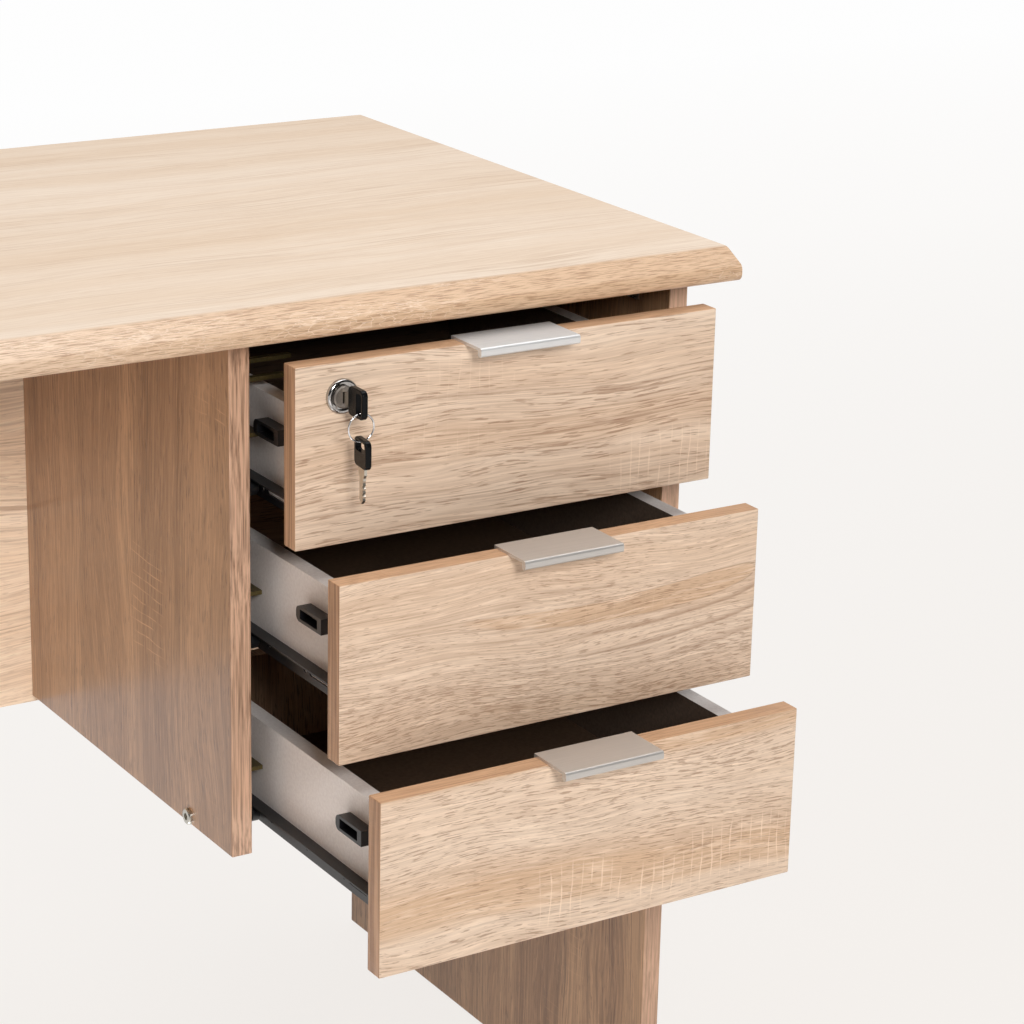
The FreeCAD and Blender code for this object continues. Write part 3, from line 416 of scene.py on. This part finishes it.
# painted shade: the top drawer's back is the oak darkened to about half, standing for the shade deep in the
# cabinet
BACK_PAINTED_SHADE = (linear(96, 76, 58), linear(78, 60, 45), linear(50, 36, 26), linear(80, 60, 42))
DARK_OAK = (linear(190, 160, 130), linear(160, 125, 96), linear(92, 66, 46), linear(160, 120, 84))
BACKS = {"top": BACK_PAINTED_SHADE, "middle": DARK_OAK, "bottom": DARK_OAK}
FRONT_EDGE = linear(205, 163, 127)
PANEL_EDGE = linear(216, 175, 146)
STRIP_COLOURS = (linear(213, 179, 146), linear(150, 110, 78))
STRIP_WIDTH = 0.021

# What each drawer front's print shows. Lanes and bands: height, half width and softness, dense adds
# its extra pores. Saw spots: place and half length, height and half height. Flame: its two ends, its
# height, sag and half width.
FRONT_PRINTS = {
    "top": dict(saw=0.6, pores=0.8, pore_size=(50.0, 800.0),
                dark_at=((0.640, 0.012, 0.010), (0.668, 0.008, 0.008)),
                saw_at=((0.530, 0.045, 0.610, 0.020),)),
    "middle": dict(pores=0.75, streaks=0.5, pore_size=(92.0, 1150.0), contrast=1.3,
                   flame=(0.322, 0.567, 0.5385, 0.011, 0.0098),
                   dense=(0.474, 0.022, 0.016, 0.07)),
    "bottom": dict(saw=0.75, pores=0.8, streaks=0.35, pore_size=(84.0, 1150.0), contrast=1.2,
                   bands=((0.352, 0.014, 0.005), (0.442, 0.006, 0.004)),
                   saw_at=((0.383, 0.030, 0.350, 0.020), (0.470, 0.060, 0.343, 0.012),
                           (0.530, 0.050, 0.352, 0.020)),
                   dense=(0.410, 0.040, 0.030, 0.03)),
}
SIDE_SAW_SPOTS = ((0.490, 0.040, -0.022, 0.025), (0.665, 0.012, -0.130, 0.022))
FRONT_SEED, FRONT_SEED_STEP, BACK_SEED = 6.3, 1.7, 11.0

strip_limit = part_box("desk_top")[0].y + STRIP_WIDTH
dress(oak("oak_top", X, Z, 1.0, *TOP, pores=0.2, streaks=0.9, saw=0.5, contrast=0.6,
          strip=(strip_limit, *STRIP_COLOURS)), "desk_top")
dress(oak("oak_modesty_painted_light", X, Y, 2.0, *MODESTY_PAINTED_LIGHT, pores=0.4, contrast=0.8), "modesty_panel")
dress(oak("oak_side_painted_shade", Z, X, 3.0, *SIDE_PAINTED_SHADE, edge=PANEL_EDGE, edge_streaks=0.8, pores=0.8, gloss=0.34, coat=0.6,
          streaks=1.5, contrast=1.3, saw_at=SIDE_SAW_SPOTS), "pedestal_side_panel")
dress(oak("oak_leg_painted_shade", Z, X, 4.0, *LEG_PAINTED_SHADE, edge=PANEL_EDGE, edge_streaks=0.5, pores=0.7, gloss=0.38, coat=0.15,
          streaks=1.5, contrast=1.3), "left_leg_panel", "right_leg_panel")
dress(oak("oak_rail", X, Y, 5.0, *OAK), "tie_rail")
for number, drawer in enumerate(DRAWERS):
    dress(oak("oak_front_" + drawer, X, Y, FRONT_SEED + FRONT_SEED_STEP * number, *OAK, edge=FRONT_EDGE,
              edge_streaks=0.6, **FRONT_PRINTS[drawer]), drawer + "_drawer_front")
    dress(oak("oak_back_" + drawer, Z if drawer == "bottom" else X, Y, BACK_SEED + number, *BACKS[drawer]),
          drawer + "_drawer_back")


# Boards, metals and plastics: repeats per metre, two colours, range of roughness, bump in metres
FINE_SHARE, FINE_BUMP = 0.6, 0.0003
CLOUD_SIZE = (14, 14, 14)
SPECKLE = ((0.35, 0.0), (0.65, 1.0))
FOIL_GRAIN, FOIL_ROUGH, FOIL_BUMP = (400, 400, 400), (0.34, 0.46), (0.05, FINE_BUMP)
LIGHT_FOIL = (linear(236, 229, 224), linear(226, 218, 213))
# painted shade: the drawer sides' inside faces are coloured dark for the shade inside the drawers, on the
# same light foil
INSIDE_PAINTED_SHADE = (linear(104, 88, 76), linear(86, 72, 62))
OUTWARD = ((0.2, 0.0), (0.3, 1.0))
LOCK_GRAIN, LOCK_ROUGH, LOCK_BUMP = (900, 900, 900), (0.07, 0.13), (0.02, 0.0002)
LOCK_CHROME = (linear(186, 183, 181), linear(168, 165, 163))
# painted shade: the recess behind the lock's face is coloured near black
GROOVE_PAINTED_SHADE, GROOVE_SHADE_BORDER = linear(20, 19, 18), (-0.0003, 0.0008)
# brushed finishes are drawn out along X
BRUSHED = (0.02, 1, 1)


def speckled(name, colour, other, grain, rough, metallic=0.0, bump=0.05, stretch=(1, 1, 1), ior=1.5):
    """A finish with fine colour, roughness and bump variation; grain is its repeats per metre."""
    shader = Shader(name)
    fine = shader.noise(shader.along([grain * value for value in stretch]), 3.0, 0.6)
    cloud = shader.noise(shader.along(CLOUD_SIZE))
    both = shader.plus(shader.times(fine, FINE_SHARE), shader.times(cloud, 1 - FINE_SHARE))
    shader.set(Base_Color=shader.mix(shader.ramp(both, SPECKLE), colour, other))
    shader.set(Roughness=shader.spread(both, *rough))
    shader.set(Metallic=metallic, IOR=ior)
    shader.bump(fine, bump, FINE_BUMP)
    return shader.material


def drawer_side(name, inner):
    """Light foil outside; the inside faces get a dark colour that is painted shade; inner is the sign of X
    on the inner face.
    """
    shader = Shader(name)
    fine = shader.noise(shader.along(FOIL_GRAIN), 3.0, 0.6)
    light = shader.mix(shader.ramp(fine, SPECKLE), *LIGHT_FOIL)
    painted_shade = shader.mix(shader.ramp(fine, SPECKLE), *INSIDE_PAINTED_SHADE)
    outward = shader.plus(shader.times(shader.part_of("Normal", X), -0.5 * inner), 0.5)
    shader.set(Base_Color=shader.mix(shader.ramp(outward, OUTWARD), painted_shade, light))
    shader.set(Roughness=shader.spread(fine, *FOIL_ROUGH))
    shader.bump(fine, *FOIL_BUMP)
    return shader.material


def lock_chrome():
    """Chrome with painted shade in the recessed groove between the rim and the turning plug."""
    shader = Shader("lock_chrome")
    fine = shader.noise(shader.along(LOCK_GRAIN))
    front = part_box("top_drawer_front")[0].y
    depth = shader.times(shader.part_of("Object", Y), -1.0)
    groove_shade = shader.fade(depth, *[border - front for border in GROOVE_SHADE_BORDER])
    shade = shader.mix(shader.spread(fine, 0.0, 1.0), *LOCK_CHROME)
    shader.set(Base_Color=shader.mix(groove_shade, shade, GROOVE_PAINTED_SHADE))
    shader.set(Roughness=shader.spread(fine, *LOCK_ROUGH), Metallic=1.0)
    shader.bump(fine, *LOCK_BUMP)
    return shader.material


left_foil_painted_shade = drawer_side("side_foil_painted_shade_left", 1)
right_foil_painted_shade = drawer_side("side_foil_painted_shade_right", -1)
hardboard = speckled("dark_hardboard", linear(106, 83, 65), linear(86, 67, 52), 300, (0.4, 0.6))
chipboard = speckled("bare_chipboard", linear(150, 120, 90), linear(110, 86, 62), 700, (0.6, 0.8), bump=0.3)
black_coat = speckled("black_coat", linear(30, 30, 32), linear(22, 22, 24), 900, (0.28, 0.42), bump=0.08)
plastic = speckled("black_plastic", linear(24, 24, 26), linear(18, 18, 20), 1500, (0.3, 0.4), bump=0.06)
# the three handles are the same aluminium: the top one's paler colour is a painted highlight, and the lower
# ones' darker, warmer colour is painted shade with a painted reflection of the wood
handle_metal_painted_highlight = speckled("aluminium_painted_highlight", linear(236, 235, 234), linear(228, 227, 226), 900, (0.4, 0.5),
                      0.7, 0.04, BRUSHED)
handle_metal_painted_shade = speckled("satin_aluminium", linear(207, 202, 197), linear(199, 194, 189), 900, (0.36, 0.44),
                 0.66, 0.04, BRUSHED)
zinc = speckled("zinc", linear(205, 203, 196), linear(180, 178, 170), 400, (0.22, 0.36), 1.0, 0.05)
chrome = speckled("chrome", linear(226, 225, 226), linear(214, 213, 214), 200, (0.07, 0.12), 1.0, 0.01)
nickel = speckled("nickel", linear(205, 198, 186), linear(186, 180, 170), 800, (0.25, 0.38), 1.0, 0.04)
satin = speckled("satin_nickel", linear(150, 141, 133), linear(128, 120, 113), 1400, (0.4, 0.52), 0.9, 0.1)
gloss_black = speckled("gloss_black", linear(16, 16, 17), linear(11, 11, 12), 600, (0.2, 0.3),
                       bump=0.02, ior=1.22)
# painted shade and a painted reflection of the wood: the lock bar, its stops and fork are coloured dim brown
# in place of their bare metal
bar_painted_shade = speckled("bronze_painted_shade_and_reflection", linear(112, 100, 62), linear(90, 78, 48), 500, (0.38, 0.5), 0.8, 0.05)
for drawer in DRAWERS:
    dress(left_foil_painted_shade, drawer + "_drawer_left_side")
    dress(right_foil_painted_shade, drawer + "_drawer_right_side")
    dress(hardboard, drawer + "_drawer_bottom")
    dress(black_coat, drawer + "_cabinet_runners", drawer + "_drawer_runners")
    dress(plastic, drawer + "_cabinet_rollers", drawer + "_drawer_rollers", drawer + "_drawer_lock_catch")
    dress(handle_metal_painted_highlight if drawer == "top" else handle_metal_painted_shade, drawer + "_drawer_handle")
    dress(zinc, drawer + "_drawer_fasteners")
dress(chipboard, "runner_packers")
dress(plastic, "floor_glides", "lock_bar_guides")
dress(zinc, "panel_bolts", "bracket_screws", "runner_screws", "top_brackets")
dress(bar_painted_shade, "lock_bar", "lock_bar_stops", "lock_bar_fork")
dress(chrome, "lock_nut", "key_ring")
dress(lock_chrome(), "lock_housing")
dress(satin, "lock_plug")
dress(nickel, "key_blade", "spare_key_blade")
dress(gloss_black, "key_head", "spare_key_head")


# Floor: white to the camera and to reflections, with the desk's shadow left in it
FLOOR_HALF = 30.0
FLOOR_COLOUR, FLOOR_ROUGHNESS = linear(238, 234, 230), 0.9
NEAR_WHITE, FAR_WHITE = linear(246, 242, 238), linear(255, 255, 255)
WHITE_PER_METRE = 0.25
WHITE_SHARE = ((0.0, 0.89), (0.6, 0.985))
WHITE_RAYS = ("Is Camera Ray", "Is Glossy Ray", "Is Transmission Ray")


def make_floor():
    """A large floor that turns from warm to plain white behind the desk."""
    mesh = bpy.data.meshes.new("floor")
    corners = [(x * FLOOR_HALF, y * FLOOR_HALF, 0) for x, y in ((-1, -1), (1, -1), (1, 1), (-1, 1))]
    mesh.from_pydata(corners, [], [(0, 1, 2, 3)])
    floor = bpy.data.objects.new("floor", mesh)
    bpy.context.scene.collection.objects.link(floor)
    shader = Shader("studio_floor")
    shader.set(Base_Color=FLOOR_COLOUR, Roughness=FLOOR_ROUGHNESS)
    glow = shader.nodes.new("ShaderNodeEmission")
    depth = shader.times(shader.part_of("Object", Y), WHITE_PER_METRE)
    depth = shader.ramp(depth, ((0.0, 0.0), (1.0, 1.0)))
    shader.links.new(shader.mix(depth, NEAR_WHITE, FAR_WHITE), glow.inputs["Color"])
    path = shader.nodes.new("ShaderNodeLightPath")
    seen = shader.most(*[path.outputs[ray] for ray in WHITE_RAYS])
    blend = shader.nodes.new("ShaderNodeMixShader")
    shader.links.new(shader.times(seen, shader.ramp(depth, WHITE_SHARE)), blend.inputs[0])
    shader.links.new(shader.surface.outputs[0], blend.inputs[1])
    shader.links.new(glow.outputs[0], blend.inputs[2])
    shader.links.new(blend.outputs[0], shader.nodes["Material Output"].inputs["Surface"])
    mesh.materials.append(shader.material)


make_floor()


# Studio light
def lamp(name, place, target, size, power):
    """A rectangular lamp at a place, aimed at a target, that the camera doesn't see; metres and watts."""
    data = bpy.data.lights.new(name, "AREA")
    data.shape = "RECTANGLE"
    data.size, data.size_y = size
    data.energy = power
    lamp_object = bpy.data.objects.new(name, data)
    bpy.context.scene.collection.objects.link(lamp_object)
    lamp_object.location = place
    aim = Vector(target) - Vector(place)
    lamp_object.rotation_euler = aim.to_track_quat("-Z", "Y").to_euler()
    lamp_object.visible_camera = False


lamp("front_softbox", (-0.55, -3.3, 2.2), (0.35, -0.2, 0.55), (0.9, 0.9), 83)
lamp("floor_bounce", (-0.35, -1.5, 0.02), (-0.35, -1.5, 1.0), (1.2, 0.8), 3)
lamp("knee_bounce", (0.04, -0.08, 0.012), (0.04, -0.08, 1.0), (0.12, 0.5), 0.8)
lamp("top_softbox", (0.6, 0.2, 3.2), (0.3, 0.0, 0.6), (2.6, 2.2), 56)

# Room light: strength by how far a direction points to the back of the room
ROOM_STRENGTH = {"From Min": -0.6, "From Max": 0.4, "To Min": 0.05, "To Max": 0.42}


def make_world():
    """Soft white room, darker behind the camera."""
    world = bpy.data.worlds.new("studio")
    bpy.context.scene.world = world
    world.use_nodes = True
    tree = world.node_tree
    place = tree.nodes.new("ShaderNodeTexCoord")
    split = tree.nodes.new("ShaderNodeSeparateXYZ")
    strength = tree.nodes.new("ShaderNodeMapRange")
    for name, number in ROOM_STRENGTH.items():
        strength.inputs[name].default_value = number
    back = tree.nodes["Background"]
    back.inputs["Color"].default_value = (1, 1, 1, 1)
    tree.links.new(place.outputs["Generated"], split.inputs[0])
    tree.links.new(split.outputs["Y"], strength.inputs["Value"])
    tree.links.new(strength.outputs[0], back.inputs["Strength"])


make_world()

# Camera, solved from the photograph's edges: place in metres, turns in degrees
CAMERA_PLACE = (-0.68267, -1.92234, 1.26213)
HEADING, DIP, ROLL = -32.41, 18.47, 1.33
camera_data = bpy.data.cameras.new("camera")
camera_data.sensor_width = 36.0
camera_data.lens = 106.81
camera_data.clip_end = 100.0
camera = bpy.data.objects.new("camera", camera_data)
bpy.context.scene.collection.objects.link(camera)
stand = Matrix.Translation(CAMERA_PLACE)
for degrees, axis in ((HEADING, "Z"), (90 - DIP, "X"), (ROLL, "Z")):
    stand = stand @ Matrix.Rotation(math.radians(degrees), 4, axis)
camera.matrix_world = stand
bpy.context.scene.camera = camera
bpy.context.scene.view_settings.view_transform = "Standard"
